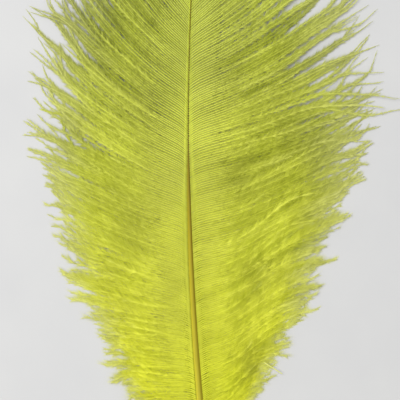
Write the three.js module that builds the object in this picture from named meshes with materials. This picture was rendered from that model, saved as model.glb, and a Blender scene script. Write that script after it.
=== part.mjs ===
// A dyed ostrich plume, lying on a table with its upper side showing.
// Millimetres, +Z up. The quill points to -Y and the soft tip to +Y, and the plume spreads along X.
// The origin is on the table, under the middle of the plume's box.
//
// A feather grows as one piece, so it is one solid. Its shaft is a bare round quill that runs on as
// the tapering rachis. On each side the shaft carries a vane of locks, which is how an ostrich's soft
// barbs hang together: beside the shaft the locks are one web, and further out they part into tips.

import * as THREE from "three";

// Shaft. A station is a distance along the plume from the end of the quill.
const SHAFT_LENGTH = 254;
const BEND_RADIUS = 1250; // sideways curve of the shaft, seen from above
const BEND_STATION = 156; // where that curve runs straight along Y
const QUILL_RADIUS = 1.8;
const SHAFT_ARCH = 8; // how far the middle of the shaft stands above its two ends
const SHAFT_FLATNESS = 0.9; // height of the shaft's section over its width
const SHAFT_SIDES = 8;
const QUILL_RINGS = 10;

// Half width of the shaft: [station, half width].
const SHAFT_PROFILE = [
  [0, 0.45],
  [2.5, 1.2],
  [9, QUILL_RADIUS],
  [32, 1.72],
  [56, 1.5],
  [116, 1.0],
  [156, 0.55],
  [216, 0.36],
  [SHAFT_LENGTH, 0.25],
];

// Outline of each vane: [station of a barb's root, its reach out from the shaft, how far ahead its tip lies].
const LEFT_OUTLINE = [
  [28, 4, -7],
  [40, 15, -6],
  [56, 27, -1],
  [72, 40, 5],
  [96, 51, 12],
  [122, 61, 16],
  [142, 68, 21],
  [154, 67, 31],
  [166, 61, 45],
  [190, 44, 53],
  [216, 29, 50],
  [240, 13, 41],
  [SHAFT_LENGTH, 2, 31],
];
const RIGHT_OUTLINE = [
  [28, 4, -6],
  [40, 13, -3],
  [54, 23, 4],
  [72, 40, 12],
  [92, 54, 18],
  [111, 64, 20],
  [130, 73, 23],
  [156, 79, 27],
  [170, 74, 39],
  [190, 62, 46],
  [216, 38, 49],
  [240, 15, 42],
  [SHAFT_LENGTH, 2, 33],
];

// Places where a vane has parted: [station, how wide it opens at the edge].
const LEFT_PARTINGS = [
  [124, 3],
  [131, 3],
  [139, 4],
  [159, 3],
];
const RIGHT_PARTINGS = [
  [96, 3],
  [145, 3],
  [170, 5],
  [178, 5],
];
const PARTING_SPREAD = 10; // how far along the shaft a parting pushes its neighbours

// Bow of a barb: under 1 its tip levels out, over 1 it sweeps up towards the plume's tip.
const BOW = [
  [28, 0.85],
  [120, 0.9],
  [166, 1.2],
  [200, 1.4],
  [236, 1.2],
  [SHAFT_LENGTH, 0.8],
];

// Locks.
const LOCKS = 36; // on the left, and one less on the right, where they lie between those of the left
const VANE_START = 30; // station
const VANE_END = 253;
const LOCK_STEPS = 9;
const LOCK_THICK = 2.2;
const FULL_AT = 0.35; // share of a lock's length where it is thickest
const TIP_THICK = 0.7;
const VALLEY = 0.5; // thickness between two locks over thickness in the middle of one
const TIP_SHARE = 0.3; // width of a lock's tip over the room it has
const WEB_SHARE = 0.66; // share of its length where a lock leaves the web
const WEB_SPREAD = 0.14;
const PARTED_SHARE = 0.34; // the same beside a parting
const LIE_FROM = 0.8; // share of a lock's length where it meets the table
const TIP_LIFT = 1.2; // most that a lock's lower face stays above the table
const FLAT_EVERY = 3; // one lock in this many lies flat on the table
const LENGTH_SPREAD = 0.05;
const AHEAD_SPREAD = 1.6;

// Colours.
const PLUME_COLOUR = 0xbcc23e;
const PLUME_ROUGHNESS = 0.75;

const lockPitch = (VANE_END - VANE_START) / LOCKS;

// A smooth curve through rows of [station, value, ...]: gives one column's value at a station.
function smooth(rows, column = 1) {
  const stations = rows.map((row) => row[0]);
  const values = rows.map((row) => row[column]);
  const curve = new THREE.CubicInterpolant(stations, values, 1);
  return (station) => curve.evaluate(station)[0];
}

// A number from -1 to 1 that looks random and is the same on every run.
function scatter(index, salt) {
  const wave = Math.sin(index * 12.9898 + salt * 78.233) * 43758.5453;
  return 2 * (wave - Math.floor(wave)) - 1;
}

const ease = (from, to, x) => THREE.MathUtils.smoothstep(x, from, to);
const lerp = THREE.MathUtils.lerp;
const halfWidth = smooth(SHAFT_PROFILE);
const bow = smooth(BOW);

// The shaft's centre line.
function shaftPoint(station) {
  const offset = station - BEND_STATION;
  const arch = SHAFT_ARCH * Math.sin((Math.PI * station) / SHAFT_LENGTH);
  const lift = SHAFT_FLATNESS * halfWidth(Math.max(station, QUILL_RADIUS));
  return new THREE.Vector3((offset * offset) / (2 * BEND_RADIUS), station, lift + arch);
}

// A corner of the shaft's section. Corners 0 and 1 are the right side's, from its lower to its upper edge.
function shaftCorner(station, corner) {
  const angle = (2 * Math.PI * (corner - 0.5)) / SHAFT_SIDES;
  const half = halfWidth(station);
  const offset = new THREE.Vector3(half * Math.cos(angle), 0, half * SHAFT_FLATNESS * Math.sin(angle));
  return shaftPoint(station).add(offset);
}

// Each vane's own facts. side is -1 for the left and 1 for the right. low and high are the corners of the
// shaft that it grows from, and first is the ring, counted in half locks, where its first lock begins.
const LEFT = {
  side: -1,
  low: SHAFT_SIDES / 2 + 1,
  high: SHAFT_SIDES / 2,
  first: 0,
  locks: LOCKS,
  reach: smooth(LEFT_OUTLINE, 1),
  ahead: smooth(LEFT_OUTLINE, 2),
  partings: LEFT_PARTINGS,
};
const RIGHT = {
  side: 1,
  low: 0,
  high: 1,
  first: 1,
  locks: LOCKS - 1,
  reach: smooth(RIGHT_OUTLINE, 1),
  ahead: smooth(RIGHT_OUTLINE, 2),
  partings: RIGHT_PARTINGS,
};

const ringStation = (ring) => VANE_START + (ring * lockPitch) / 2;
const lockRing = (vane, index) => vane.first + 1 + 2 * index;

// How far the partings move the tip of the lock rooted at a station.
function partingShift(partings, station) {
  return partings.reduce((shift, [place, opening]) => {
    const away = station - place;
    return shift + (Math.sign(away) * opening * Math.exp(-Math.abs(away) / PARTING_SPREAD)) / 2;
  }, 0);
}

// Middle of a lock's lower face, from the shaft at along 0 to its tip at along 1.
function lockPoint(vane, index, along) {
  const station = ringStation(lockRing(vane, index));
  const root = shaftCorner(station, vane.low);
  const reach = vane.reach(station) * (1 + LENGTH_SPREAD * scatter(index, vane.side));
  const parted = partingShift(vane.partings, station);
  const ahead = vane.ahead(station) + parted + AHEAD_SPREAD * scatter(index, vane.side + 2);
  const lift = (TIP_LIFT * (1 + scatter(index, vane.side + 4))) / 2;
  const lies = index % FLAT_EVERY === 0 ? 0 : lift;
  const x = root.x + vane.side * reach * along;
  const y = root.y + ahead * along ** bow(station);
  return new THREE.Vector3(x, y, lerp(root.z, lies, ease(0, LIE_FROM, along)));
}

// Thickness of the middle of a lock.
function lockThickness(vane, index, along) {
  const station = ringStation(lockRing(vane, index));
  const rootThick = shaftCorner(station, vane.high).z - shaftCorner(station, vane.low).z;
  const grown = lerp(rootThick, LOCK_THICK, ease(0, FULL_AT, along));
  return lerp(grown, TIP_THICK, ease(FULL_AT, 1, along));
}

// Share of their length over which a lock and the one before it are one web.
function webShare(vane, index) {
  const station = ringStation(lockRing(vane, index) - 1);
  const beside = vane.partings.some(([place]) => Math.abs(station - place) <= lockPitch / 2);
  return beside ? PARTED_SHARE : WEB_SHARE + WEB_SPREAD * scatter(index, vane.side + 6);
}

// The plume's skin.
const points = [];
const triangles = [];

function addPoint(point) {
  return points.push(point) - 1;
}

// A face with four corners, named anticlockwise as seen from outside.
function addFace(a, b, c, d) {
  triangles.push(a, b, c, a, c, d);
}

// Rings of points round the shaft: over the bare quill, then two to each lock, then one at the tip.
const quillStations = Array.from({ length: QUILL_RINGS }, (_, i) => VANE_START * (i / QUILL_RINGS) ** 2);
const vaneStations = Array.from({ length: 2 * LOCKS + 1 }, (_, ring) => ringStation(ring));
const rings = [...quillStations, ...vaneStations, SHAFT_LENGTH].map((station) =>
  Array.from({ length: SHAFT_SIDES }, (_, corner) => addPoint(shaftCorner(station, corner))),
);

// True where a vane grows from the shaft between a ring and the next one.
function carries(vane, ring) {
  const start = QUILL_RINGS + vane.first;
  return ring >= start && ring < start + 2 * vane.locks;
}

function growShaft() {
  for (let ring = 0; ring + 1 < rings.length; ring++) {
    for (let corner = 0; corner < SHAFT_SIDES; corner++) {
      const onRight = corner === RIGHT.low && carries(RIGHT, ring);
      const onLeft = corner === LEFT.high && carries(LEFT, ring);
      if (onRight || onLeft) continue;
      const next = (corner + 1) % SHAFT_SIDES;
      addFace(rings[ring][corner], rings[ring + 1][corner], rings[ring + 1][next], rings[ring][next]);
    }
  }
  const quillEnd = rings[0];
  const tipEnd = rings[rings.length - 1];
  for (let corner = 1; corner + 1 < SHAFT_SIDES; corner++) {
    triangles.push(quillEnd[0], quillEnd[corner], quillEnd[corner + 1]);
    triangles.push(tipEnd[0], tipEnd[corner + 1], tipEnd[corner]);
  }
}

// A line of points from the shaft to the edge of a vane, on its lower and its upper face.
// It follows the line of the web up to the step that it shares with its neighbour, and its own from there.
function addLine(vane, ring, place, shared = { lower: [], upper: [] }) {
  const corners = rings[QUILL_RINGS + ring];
  const line = {
    lower: [corners[vane.low], ...shared.lower.slice(1)],
    upper: [corners[vane.high], ...shared.upper.slice(1)],
  };
  for (let step = line.lower.length; step <= LOCK_STEPS; step++) {
    const { foot, thick } = place(step / LOCK_STEPS);
    line.lower.push(addPoint(foot));
    line.upper.push(addPoint(foot.clone().setZ(foot.z + thick)));
  }
  return line;
}

// Where a lock runs: its middle, and its edge on the side of the lock before or after it.
function lockMiddle(vane, index) {
  return (along) => ({
    foot: lockPoint(vane, index, along),
    thick: lockThickness(vane, index, along),
  });
}

function lockEdge(vane, index, neighbour, web) {
  return (along) => {
    const middle = lockPoint(vane, index, along);
    const between = lockPoint(vane, neighbour, along).lerp(middle, 0.5);
    const apart = ease(web, 1, along);
    const foot = middle.clone().lerp(between, lerp(1, TIP_SHARE, apart));
    foot.z = along > web ? middle.z : between.z;
    return { foot, thick: VALLEY * lockThickness(vane, index, along) };
  };
}

// The skin between two lines of points, with its upper side, lower side and end.
function addStrip(vane, before, after) {
  const face = vane.side > 0 ? addFace : (a, b, c, d) => addFace(d, c, b, a);
  for (let step = 0; step < LOCK_STEPS; step++) {
    face(before.upper[step], before.upper[step + 1], after.upper[step + 1], after.upper[step]);
    face(after.lower[step], after.lower[step + 1], before.lower[step + 1], before.lower[step]);
  }
  const end = LOCK_STEPS;
  face(before.lower[end], after.lower[end], after.upper[end], before.upper[end]);
}

// The wall along a lock's free edge, from a step to the tip. towards is -1 on the edge nearer the quill.
function addWall(vane, line, from, towards) {
  const face = vane.side * towards < 0 ? addFace : (a, b, c, d) => addFace(d, c, b, a);
  for (let step = from; step < LOCK_STEPS; step++) {
    face(line.lower[step], line.lower[step + 1], line.upper[step + 1], line.upper[step]);
  }
}

function growVane(vane) {
  let web = 0;
  let steps = 0;
  let edge = addLine(vane, vane.first, lockEdge(vane, 0, -1, web));
  for (let index = 0; index < vane.locks; index++) {
    const ring = lockRing(vane, index);
    const middle = addLine(vane, ring, lockMiddle(vane, index));
    addWall(vane, edge, steps, -1);
    addStrip(vane, edge, middle);

    const last = index + 1 === vane.locks;
    web = last ? 0 : webShare(vane, index + 1);
    steps = Math.round(web * LOCK_STEPS);
    const far = addLine(vane, ring + 1, lockEdge(vane, index, index + 1, web));
    addStrip(vane, middle, far);
    addWall(vane, far, steps, 1);

    const shared = { lower: far.lower.slice(0, steps + 1), upper: far.upper.slice(0, steps + 1) };
    if (!last) edge = addLine(vane, ring + 1, lockEdge(vane, index + 1, index, web), shared);
  }
}

growShaft();
growVane(LEFT);
growVane(RIGHT);

const skin = new THREE.BufferGeometry().setFromPoints(points).setIndex(triangles);
const material = new THREE.MeshStandardMaterial({
  color: PLUME_COLOUR,
  roughness: PLUME_ROUGHNESS,
  metalness: 0,
});
const feather = new THREE.Mesh(skin, material);
feather.name = "feather";

// Sets the middle of the plume's box over the origin, with its lowest face on the table.
const box = new THREE.Box3().setFromObject(feather);
const middle = box.getCenter(new THREE.Vector3());
feather.position.set(-middle.x, -middle.y, -box.min.z);

const plume = new THREE.Group();
plume.add(feather);

export default plume;
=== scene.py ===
# %% [markdown]
# # A dyed ostrich plume
# This lesson dresses a plain solid of a feather with what makes an ostrich plume: a horn shaft and
# some six hundred soft barbs, each fringed with fine barbules. The solid comes in as a fixed frame,
# and everything here is placed in that frame, in metres. The plume lies on a table with its quill
# towards -Y and its soft tip towards +Y.

# %% The frame
import math

import bpy
import numpy as np
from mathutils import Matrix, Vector


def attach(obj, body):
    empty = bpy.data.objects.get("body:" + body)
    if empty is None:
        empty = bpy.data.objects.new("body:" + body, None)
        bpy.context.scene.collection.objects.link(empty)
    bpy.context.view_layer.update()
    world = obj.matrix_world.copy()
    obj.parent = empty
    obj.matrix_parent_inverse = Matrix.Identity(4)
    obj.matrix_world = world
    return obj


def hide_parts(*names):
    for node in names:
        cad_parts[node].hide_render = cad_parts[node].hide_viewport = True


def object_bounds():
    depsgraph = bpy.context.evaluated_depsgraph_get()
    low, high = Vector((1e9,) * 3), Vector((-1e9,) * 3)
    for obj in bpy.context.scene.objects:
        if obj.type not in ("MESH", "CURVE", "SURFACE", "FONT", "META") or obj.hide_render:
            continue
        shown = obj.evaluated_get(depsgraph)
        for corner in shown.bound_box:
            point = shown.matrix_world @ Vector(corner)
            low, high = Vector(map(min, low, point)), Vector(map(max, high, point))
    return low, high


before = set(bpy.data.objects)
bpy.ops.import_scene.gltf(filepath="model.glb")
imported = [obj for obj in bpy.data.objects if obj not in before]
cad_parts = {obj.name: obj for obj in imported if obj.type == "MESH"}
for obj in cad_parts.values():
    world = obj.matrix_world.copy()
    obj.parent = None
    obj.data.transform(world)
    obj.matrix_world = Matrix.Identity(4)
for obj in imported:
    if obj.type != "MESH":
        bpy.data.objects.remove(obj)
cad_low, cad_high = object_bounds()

MM = 0.001
print("solid, mm:", [round((b - a) / MM, 1) for a, b in zip(cad_low, cad_high)])

# %% [markdown]
# ## The line of the shaft
# Everything on a feather grows from its shaft, so the shaft's line comes first. It tapers, bends a
# little to one side and arches over the table. Measures are in millimetres, and a station is a
# distance along the plume from the end of the quill. No single formula gives such uneven widths, so
# they are a short table with a smooth curve drawn through it, and many measures further on are given
# in the same way. The solid was centred over the origin. The script looks up where the end of its
# quill went, and moves all of its own work by the same amount.

# %% Line and width of the shaft
SHAFT_LENGTH = 254
BEND_RADIUS = 1250
BEND_STATION = 156
QUILL_RADIUS = 1.8
SHAFT_ARCH = 8
SHAFT_FLATNESS = 0.9  # height over width
SHAFT_PROFILE = [  # station, half width
    (0, 0.45), (2.5, 1.2), (9, QUILL_RADIUS), (32, 1.72), (56, 1.5),
    (116, 1.0), (156, 0.55), (216, 0.36), (SHAFT_LENGTH, 0.25),
]


def smooth(rows, at, column=1):
    """A smooth curve through rows of numbers, read at one or many stations."""
    knots = np.array(rows, float)
    x, y = knots[:, 0], knots[:, column]
    slope = np.diff(y) / np.diff(x)
    tangent = np.concatenate([slope[:1], (slope[:-1] + slope[1:]) / 2, slope[-1:]])
    at = np.clip(at, x[0], x[-1])
    i = np.clip(np.searchsorted(x, at) - 1, 0, len(slope) - 1)
    width = x[i + 1] - x[i]
    p = (at - x[i]) / width
    rest = 1 - p
    ends = y[i] * (1 + 2 * p) * rest**2 + y[i + 1] * (3 - 2 * p) * p**2
    return ends + width * p * rest * (tangent[i] * rest - tangent[i + 1] * p)


def half_width(station):
    return smooth(SHAFT_PROFILE, station)


def shaft_line(station):
    """Centre line of the shaft: x and z at a station."""
    x = (station - BEND_STATION) ** 2 / (2 * BEND_RADIUS)
    arch = SHAFT_ARCH * np.sin(np.pi * station / SHAFT_LENGTH)
    return x, SHAFT_FLATNESS * half_width(np.maximum(station, QUILL_RADIUS)) + arch


print("the shaft rises to, mm:", round(float(shaft_line(SHAFT_LENGTH / 2)[1]), 1))

# %% Where the end of the quill lies in the frame
END_SLICE = 0.01 * MM  # what lies this close to the end belongs to it

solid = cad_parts["feather"].data
quill_end = [v.co for v in solid.vertices if v.co.y < cad_low.y + END_SLICE]
end_x = sum(co.x for co in quill_end) / len(quill_end)
shift = np.array([end_x / MM - shaft_line(0)[0], cad_low.y / MM, 0])
print("the plume's own origin, mm:", np.round(shift, 2))

# %% [markdown]
# ## The shaft
# The shaft is one tapering rod of horn: a bare, hollow quill at its lower end, then a rachis that thins to a
# thread. A curve with a bevel would give a round tube, but the real rod is a little flatter than it is wide,
# and changes width unevenly. So it is drawn from one ring: the ring is extruded from station to station,
# moved on to the centre line and resized at each. Last, the opening is sunk into its end, and each point
# notes how far left or right it lies, for the finish.

# %% Draw the shaft from ring to ring
SHAFT_RINGS = 56
RINGS_CROWD = 1.5  # above 1, the rings stand closer at the quill
SHAFT_SIDES = 16


def place(station):
    """Centre of the shaft in the frame, in metres."""
    x, z = shaft_line(station)
    return Vector(((x + shift[0]) * MM, (station + shift[1]) * MM, (z + shift[2]) * MM))


def select_none():
    if bpy.context.object and bpy.context.object.mode != "OBJECT":
        bpy.ops.object.mode_set(mode="OBJECT")
    bpy.ops.object.select_all(action="DESELECT")


def model_shaft():
    stations = SHAFT_LENGTH * np.linspace(0, 1, SHAFT_RINGS) ** RINGS_CROWD
    start = place(stations[0])
    select_none()
    bpy.ops.mesh.primitive_circle_add(
        vertices=SHAFT_SIDES, radius=float(half_width(stations[0])) * MM, fill_type="NGON",
        location=start, rotation=(math.pi / 2, 0, 0),
    )
    shaft = bpy.context.object
    shaft.name = "shaft"
    bpy.ops.object.transform_apply(location=True, rotation=True, scale=True)
    bpy.ops.object.mode_set(mode="EDIT")
    bpy.ops.mesh.select_all(action="SELECT")
    bpy.ops.transform.resize(value=(1, 1, SHAFT_FLATNESS), center_override=start)
    for before, station in zip(stations, stations[1:]):
        step = place(station) - place(before)
        grow = float(half_width(station) / half_width(before))
        bpy.ops.mesh.extrude_region_move(TRANSFORM_OT_translate={"value": step})
        bpy.ops.transform.resize(value=(grow, 1, grow), center_override=place(station))
    bpy.ops.object.mode_set(mode="OBJECT")
    return shaft


shaft = model_shaft()
print("shaft faces:", len(shaft.data.polygons))

# %% Open the end of the quill
QUILL_HOLE = 0.5  # share of the quill's end that is its opening
HOLE_DEPTH = 1.2
SMOOTH_ANGLE = math.radians(50)  # sharper edges stay sharp


def open_quill():
    """Sinks the hollow of the quill into the face at its end."""
    for face in shaft.data.polygons:
        face.select = face.center.y < cad_low.y + END_SLICE
    bpy.ops.object.mode_set(mode="EDIT")
    bpy.ops.mesh.select_mode(type="FACE")
    rim = float(half_width(0)) * (1 - QUILL_HOLE) * MM
    bpy.ops.mesh.inset(thickness=rim)
    bpy.ops.mesh.extrude_region_move(TRANSFORM_OT_translate={"value": (0, HOLE_DEPTH * MM, 0)})
    bpy.ops.mesh.select_all(action="SELECT")
    bpy.ops.mesh.normals_make_consistent(inside=False)
    bpy.ops.object.mode_set(mode="OBJECT")
    bpy.ops.object.shade_smooth_by_angle(angle=SMOOTH_ANGLE)


open_quill()
print("shaft faces with its hole:", len(shaft.data.polygons))

# %% Note the sides of the shaft
def mark(mesh, numbers):
    """Writes numbers on a mesh's points, to be read by its finish."""
    for title, values in numbers.items():
        layer = mesh.attributes.new(title, "FLOAT", "POINT")
        layer.data.foreach_set("value", values.astype(np.float32))


def mark_sides():
    """Notes how far each point lies to the left, -1, or right, 1, of the shaft's middle, for the painted
    light and shade across the shaft.
    """
    points = np.array([v.co for v in shaft.data.vertices]) / MM - shift
    middle, _ = shaft_line(points[:, 1])
    mark(shaft.data, {"across": (points[:, 0] - middle) / half_width(points[:, 1])})


mark_sides()
print("marked points:", len(shaft.data.vertices))

# %% [markdown]
# ## Where the barbs grow
# A barb is the soft side branch of a feather. They stand in two rows along the shaft, about a
# millimetre apart. Placing each one by hand is hopeless, and a particle system gives no control over
# how they hang together. So each barb gets a few numbers of its own: its root, the lock that it
# belongs to, and the strand inside that lock. Barbs of a strand lie close and bend together, and
# some loose barbs lie over the others. Low on the plume the barbs are bushy down, high up they are
# fine and pointed. What differs between the two vanes is given for the left and for the right.

# %% Locks along the shaft
SIGN = {"left": -1, "right": 1}  # which way along X a vane grows
LOCKS = {"left": 36, "right": 35}
HALF_PITCHES = {"left": 1, "right": 2}  # from the start of the vane to its first lock
VANE_START = 30
VANE_END = 253
LOCK_PITCH = (VANE_END - VANE_START) / LOCKS["left"]


def lock_station(side, index):
    """Station of the middle of a lock's root."""
    return VANE_START + (HALF_PITCHES[side] + 2 * index) * LOCK_PITCH / 2


def place_in_locks(side, station):
    """The lock that each root belongs to, and its place across that lock, from -0.5 to 0.5."""
    row = (station - lock_station(side, 0)) / LOCK_PITCH
    lock = np.clip(np.round(row), 0, LOCKS[side] - 1).astype(int)
    return lock, row - lock


print("locks:", LOCKS, "mm apart:", round(LOCK_PITCH, 2))

# %% Roots and strands
BARB_PITCH = [(30, 0.82), (110, 0.84), (150, 0.88), (185, 0.98), (254, 1.1)]  # station, gap to the next
PITCH_SPREAD = (0.8, 1.2)
BUSHY = [(60, 1.0), (105, 0.85), (140, 0.35), (170, 0.0)]  # station, how downy a barb is there
DOWN_STRANDS = [1, 1, 2, 2, 3]  # barbs to a strand
FINE_STRANDS = [1, 1, 1, 2, 2, 3]
DOWN_STRANDS_ABOVE = 0.4  # how downy a barb must be to be in a strand of down
LOOSE_SHARE = [  # station, loose barbs to one barb
    (30, 0.3), (110, 0.3), (140, 0.4), (160, 0.5), (180, 0.2), (254, 0.15),
]
LOOSE_SHIFT = 0.5
SEED = 7


def bushiness(station):
    return np.clip(smooth(BUSHY, station), 0, 1)


def number_strands(side, station, rng):
    """Gives neighbouring barbs of a lock the number of the strand that they share."""
    downy = bushiness(station)
    lock, _ = place_in_locks(side, station)
    strand = np.zeros(len(station), int)
    left_in_strand = 0
    for i in range(1, len(station)):
        if left_in_strand == 0 or lock[i] != lock[i - 1]:
            strand[i] = strand[i - 1] + 1
            left_in_strand = rng.choice(DOWN_STRANDS if downy[i] > DOWN_STRANDS_ABOVE else FINE_STRANDS)
        else:
            strand[i] = strand[i - 1]
        left_in_strand -= 1
    return strand


def grow_roots(side, rng):
    """Stations of the barbs' roots, with the lock and the strand of each, and the loose ones on top."""
    start = lock_station(side, -0.5)
    end = lock_station(side, LOCKS[side] - 0.5)
    station = [start]
    while station[-1] < end:
        station.append(station[-1] + smooth(BARB_PITCH, station[-1]) * rng.uniform(*PITCH_SPREAD))
    station = np.array(station[:-1])
    count = len(station)
    strand = number_strands(side, station, rng)
    loose = station[rng.random(count) < smooth(LOOSE_SHARE, station)]
    loose = np.clip(loose + rng.uniform(-LOOSE_SHIFT, LOOSE_SHIFT, len(loose)), start, end)
    strand = np.concatenate([strand, strand[-1] + 1 + np.arange(len(loose))])
    station = np.concatenate([station, loose])
    over = np.arange(len(station)) >= count
    lock, offset = place_in_locks(side, station)
    return {"station": station, "lock": lock, "offset": offset, "strand": strand, "over": over}


dice = {side: np.random.default_rng(SEED + sign) for side, sign in SIGN.items()}
roots_of = {side: grow_roots(side, dice[side]) for side in SIGN}
print("barbs:", {side: len(roots["station"]) for side, roots in roots_of.items()})

# %% [markdown]
# ## The path of a barb
# A barb leaves the shaft steeply, turns outwards within a few millimetres, and then follows its
# lock. Six hundred curves drawn by hand would take days, so the paths are worked out in small steps.
# The locks run much as they do in the solid, with an outline and a bow of their own. Towards the
# edge the barbs of a strand draw together and the strands bend away from each other, which opens
# the gaps that give a plume its airy edge. A pair of values is for a fine and for a downy barb,
# unless its name or its comment says otherwise.

# %% Paths of the locks
OUTLINE = {  # station of a root, reach out from the shaft, how far ahead the tip lies
    "left": [
        (28, 4, -7), (40, 15, -7), (56, 27, -3), (72, 37, 2), (92, 50, 11), (114, 58, 22), (132, 63, 30),
        (147, 64, 38), (162, 63, 49), (190, 46, 53), (216, 29, 50), (240, 13, 41), (SHAFT_LENGTH, 2, 31),
    ],
    "right": [
        (28, 6, 0), (40, 17, 7), (54, 28, 13), (72, 45, 19), (92, 55, 23), (111, 65, 25), (130, 73, 26),
        (156, 76, 27), (170, 76, 36), (190, 65, 44), (216, 38, 49), (240, 15, 42), (SHAFT_LENGTH, 2, 33),
    ],
}
BOW = [(28, 0.85), (90, 1.0), (125, 1.3), (166, 1.3), (200, 1.4), (236, 1.2), (SHAFT_LENGTH, 0.8)]
S_SHAPE = {  # station, how S-shaped a barb is there
    "left": [(30, 0), (250, 0)],
    "right": [(30, 0.9), (75, 0.85), (100, 0.6), (150, 0.1), (180, 0)],
}
S_FADES = 0.5  # share of the S that is lost towards the tip
ROOT_GAP = [  # station, distance of a root from the middle of the shaft
    (28, 1.55), (56, 1.36), (116, 0.9), (136, 0.7), (150, 0.45), (158, 0.3), (168, 0.2), (254, 0.12),
]
LENGTH_SPREAD = 0.03
AHEAD_SPREAD = 1.6
LIE_FROM = 0.8  # share of its length from which a lock lies on the table
TIP_LIFT = 1.2
FLAT_EVERY = 3  # every third lock lies flat


def ease(start, end, x):
    """Rises smoothly from 0 at start to 1 at end."""
    t = np.clip((x - start) / (end - start), 0, 1)
    return t * t * (3 - 2 * t)


def mix(a, b, share):
    """A value on the way from a to b."""
    return a + (b - a) * share


def scatter(index, salt):
    """The solid's own scatter, from -1 to 1, the same on every run."""
    wave = np.sin(index * 12.9898 + salt * 78.233) * 43758.5453
    return 2 * (wave - np.floor(wave)) - 1


def lock_middle(side, index, along):
    """Middle of a lock's lower face, for arrays of locks and of places along them."""
    salt = SIGN[side]
    station = lock_station(side, index)
    reach = smooth(OUTLINE[side], station) * (1 + LENGTH_SPREAD * scatter(index, salt))
    ahead = smooth(OUTLINE[side], station, column=2)
    astray = AHEAD_SPREAD * scatter(index, salt + 2)
    lift = TIP_LIFT * (1 + scatter(index, salt + 4)) / 2
    lies = np.where(index % FLAT_EVERY == 0, 0, lift)
    root_x, root_z = shaft_line(station)
    turn = 2 * np.pi
    curve = smooth(S_SHAPE[side], station) * np.sin(turn * along) / turn * (1 - S_FADES * along)
    x = root_x + SIGN[side] * (smooth(ROOT_GAP, station) + reach * along)
    y = station + ahead * (along ** smooth(BOW, station) - curve) + astray * along**3
    return np.stack([x, y, mix(root_z, lies, ease(0, LIE_FROM, along))], axis=-1)


print("widest locks, mm:", {side: max(row[1] for row in OUTLINE[side]) for side in SIGN})

# %% Lengths of the barbs
SHORTEST = (1, 0.92)  # over the length of the lock
LONGEST = (1.06, 1.07)
SHORT_DOWN = 1.3  # above 1, more of the downy barbs are short
LOOSE_LENGTH = (0.5, 0.97)  # the shortest and the longest loose barb
RAGGED = (0.92, 0.5)  # least share that is left of a barb, and of one by the quill
RAGGED_UNTIL = VANE_START + 14


def strand_count(roots):
    return roots["strand"].max() + 1


def strand_draw(roots, draws):
    """Numbers drawn one for each strand, given to all of its barbs."""
    return draws[roots["strand"]][:, None]


def barb_lengths(roots, bushy, rng):
    """Share of the lock's length that each barb has. The loose ones end short of the edge."""
    draw = strand_draw(roots, rng.random(strand_count(roots)))
    by_quill = 1 - ease(VANE_START, RAGGED_UNTIL, roots["station"][:, None])
    full = mix(mix(*SHORTEST, bushy), mix(*LONGEST, bushy), draw ** mix(1, SHORT_DOWN, bushy))
    length = np.where(roots["over"][:, None], mix(*LOOSE_LENGTH, draw), full)
    return length * rng.uniform(mix(*RAGGED, by_quill), 1.0, length.shape)


print("strands:", {side: int(strand_count(roots)) for side, roots in roots_of.items()})

# %% Strands across a lock
WEB_SHARE = 0.66  # share of their length over which neighbouring locks are one web
WEB_SPREAD = 0.14
DOWN_WEB = 0.9  # downy locks hang together for longer
PAST_TIP = 1.05  # a little more than a lock's length
LOCK_TIP = (0.95, 0.6)  # width of a lock's tip over the room it has
STRAND_TIP = (0.4, 0.9)  # the same for a strand
DRAWN_FROM = (0.42, 0.7)  # earliest and latest share of the length where barbs start to draw together
DRAWN_OVER = 0.3


def strand_mean(roots, values):
    """The mean over a strand's barbs, given to each of them."""
    return strand_draw(roots, np.bincount(roots["strand"], values) / np.bincount(roots["strand"]))


def web_share(side, index):
    """Share of their length over which a lock and the one before it are one web."""
    return WEB_SHARE + WEB_SPREAD * scatter(index, SIGN[side] + 6)


def strand_offsets(side, roots, t, rng):
    """Place of each barb across its lock: strands narrow first, then their barbs draw together."""
    lock = roots["lock"][:, None]
    middle = strand_mean(roots, roots["offset"])
    web = np.where(middle < 0, web_share(side, lock), web_share(side, lock + 1))
    bushy = bushiness(roots["station"])[:, None]
    web = mix(web, DOWN_WEB, bushy)
    room = 1 - (1 - mix(*LOCK_TIP, bushy)) * ease(web, PAST_TIP, t)
    split = strand_draw(roots, rng.uniform(*DRAWN_FROM, strand_count(roots)))
    drawn = 1 - (1 - mix(*STRAND_TIP, bushy)) * ease(split, split + DRAWN_OVER, t)
    return middle * room + (roots["offset"][:, None] - middle) * drawn


print("a strand's tip, share of its room:", STRAND_TIP)

# %% Partings between strands
PARTINGS = {  # station of a gap between strands, its opening, share of their length where it starts
    "left": [
        (124, 2.5, 0.65), (131, 3, 0.62), (139, 4, 0.58), (146, 4.5, 0.54), (152, 4, 0.52), (157, 4.5, 0.5),
        (162, 5, 0.45), (167, 4.5, 0.48), (172, 4, 0.5), (178, 3.5, 0.5), (184, 3, 0.5),
    ],
    "right": [
        (96, 2, 0.6), (138, 2, 0.62), (145, 2, 0.6), (152, 2.2, 0.58), (157, 2.5, 0.55), (161, 3, 0.52),
        (165, 3.6, 0.48), (169, 4, 0.42), (173, 5.4, 0.4), (177, 4.4, 0.36), (181, 4, 0.42), (185, 4.2, 0.4),
        (190, 3.4, 0.46), (195, 2.5, 0.5),
    ],
}
PARTING_SPREAD = 2.6  # mm along the shaft over which the push of a parting fades
GAP_GROWS = 0.35  # share of the length over which a parting opens
GAP_CLOSES = 0.5  # share of a parting that the tips close again
CLOSES_FROM = 0.8


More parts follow.
